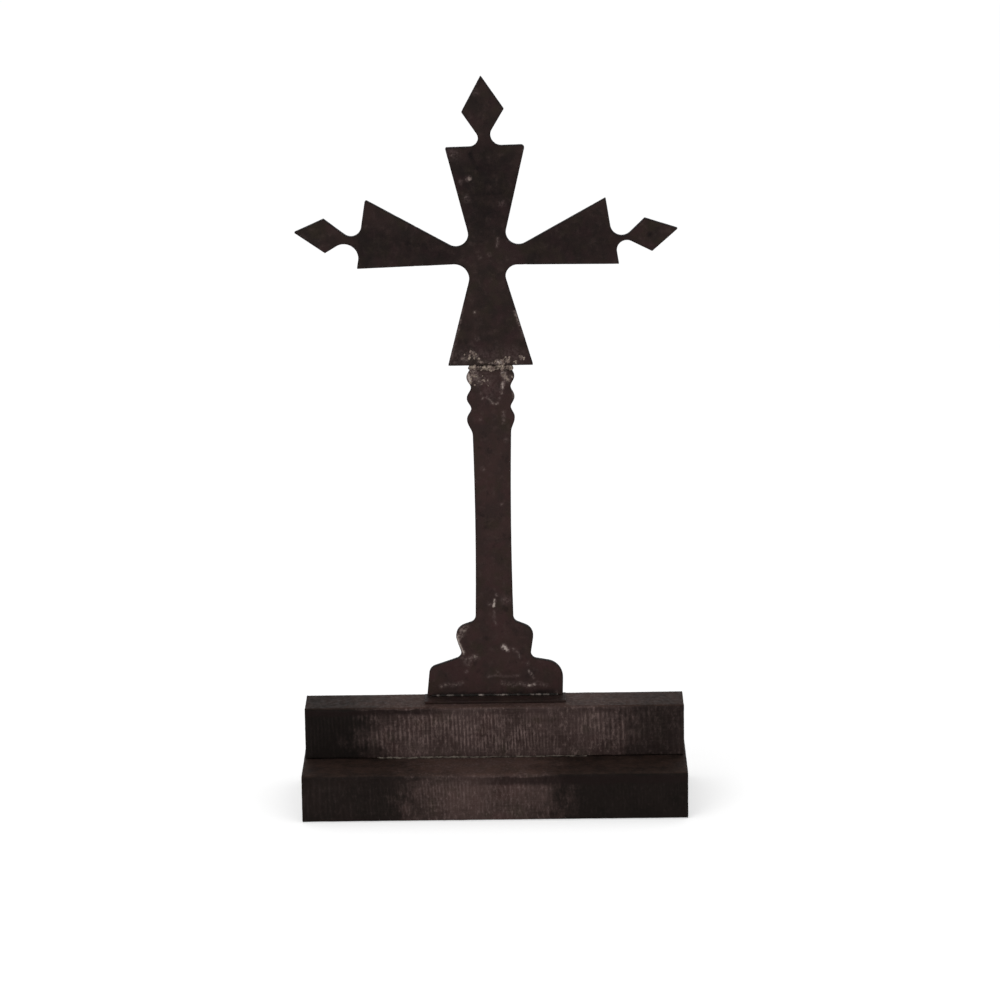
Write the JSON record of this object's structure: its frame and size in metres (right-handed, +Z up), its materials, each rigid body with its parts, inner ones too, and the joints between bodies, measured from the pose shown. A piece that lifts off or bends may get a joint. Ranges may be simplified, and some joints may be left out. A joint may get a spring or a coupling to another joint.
{
  "type": "wrought iron cross on a stepped wooden base",
  "caption": "Upright wrought iron cross with flared arms and diamond finials, on a lobed column and waisted foot, standing on a stepped base of rough-sawn dark wood.",
  "frame": {"origin": "centre of the lower block's underside, on the surface that the base stands on", "axes": "+Z up along the column, +X to the right as seen from the front, the front faces -Y"},
  "size_m": [0.384, 0.14, 0.732],
  "materials": {
    "stained_wood": "rough-sawn, dark brown stain with greyish worn saw marks, dull sheen",
    "dark_iron": "aged wrought iron, brown-black patina with faint rust and scratches, low sheen",
    "weld_bead": "lumpy pale grey weld crust, matt"
  },
  "bodies": {
    "root": {"lower_block": "stained_wood", "upper_block": "stained_wood", "foot_plate": "dark_iron", "column": "dark_iron", "cross_head": "dark_iron", "head_weld": "weld_bead", "foot_weld": "weld_bead"}
  },
  "joints": []
}
